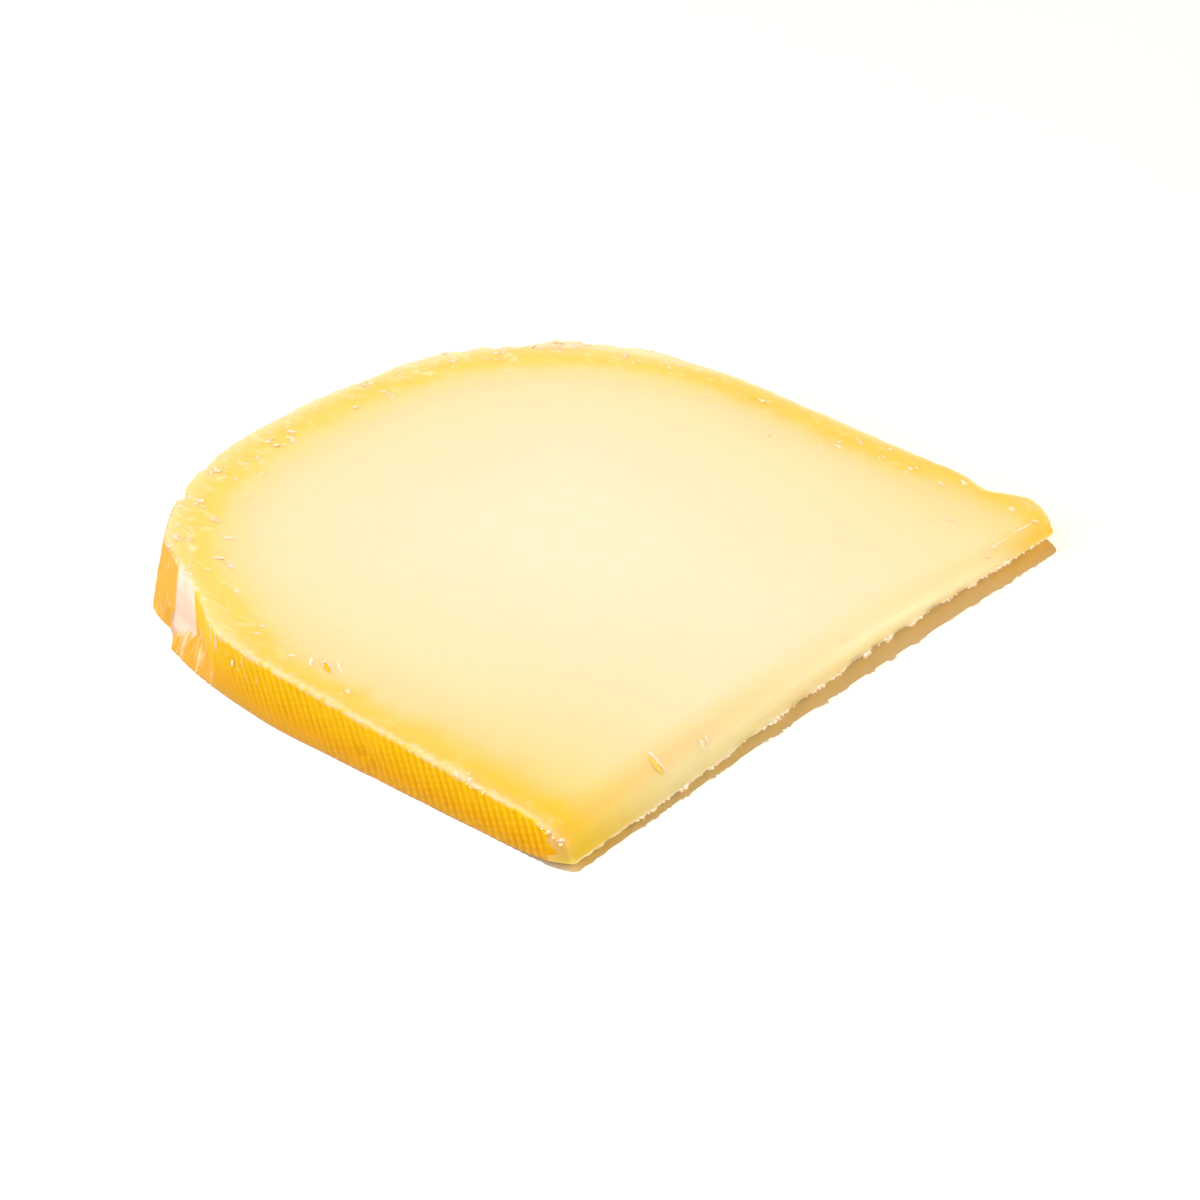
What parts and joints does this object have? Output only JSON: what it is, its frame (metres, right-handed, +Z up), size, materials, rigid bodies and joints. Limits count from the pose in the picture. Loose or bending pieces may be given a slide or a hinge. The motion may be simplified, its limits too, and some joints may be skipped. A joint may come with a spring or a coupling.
{
  "type": "cheese wedge",
  "caption": "Thin tapered slice of a round semi-hard cheese with a rounded, cloth-pressed rind and a soft bevelled inner cut, lying flat.",
  "frame": {"origin": "middle of the underside's bounding box, on the surface that the slice lies on", "axes": "+X from one flat of the cheese wheel to the other, +Y from the inner cut out to the rim, +Z up"},
  "size_m": [0.1124, 0.1034, 0.0123],
  "materials": {
    "cheese": "knife-cut semi-hard cheese paste, satin, pale cream deepening to gold beside a golden yellow rind"
  },
  "bodies": {
    "root": {"cheese_wedge": "cheese"}
  },
  "joints": []
}
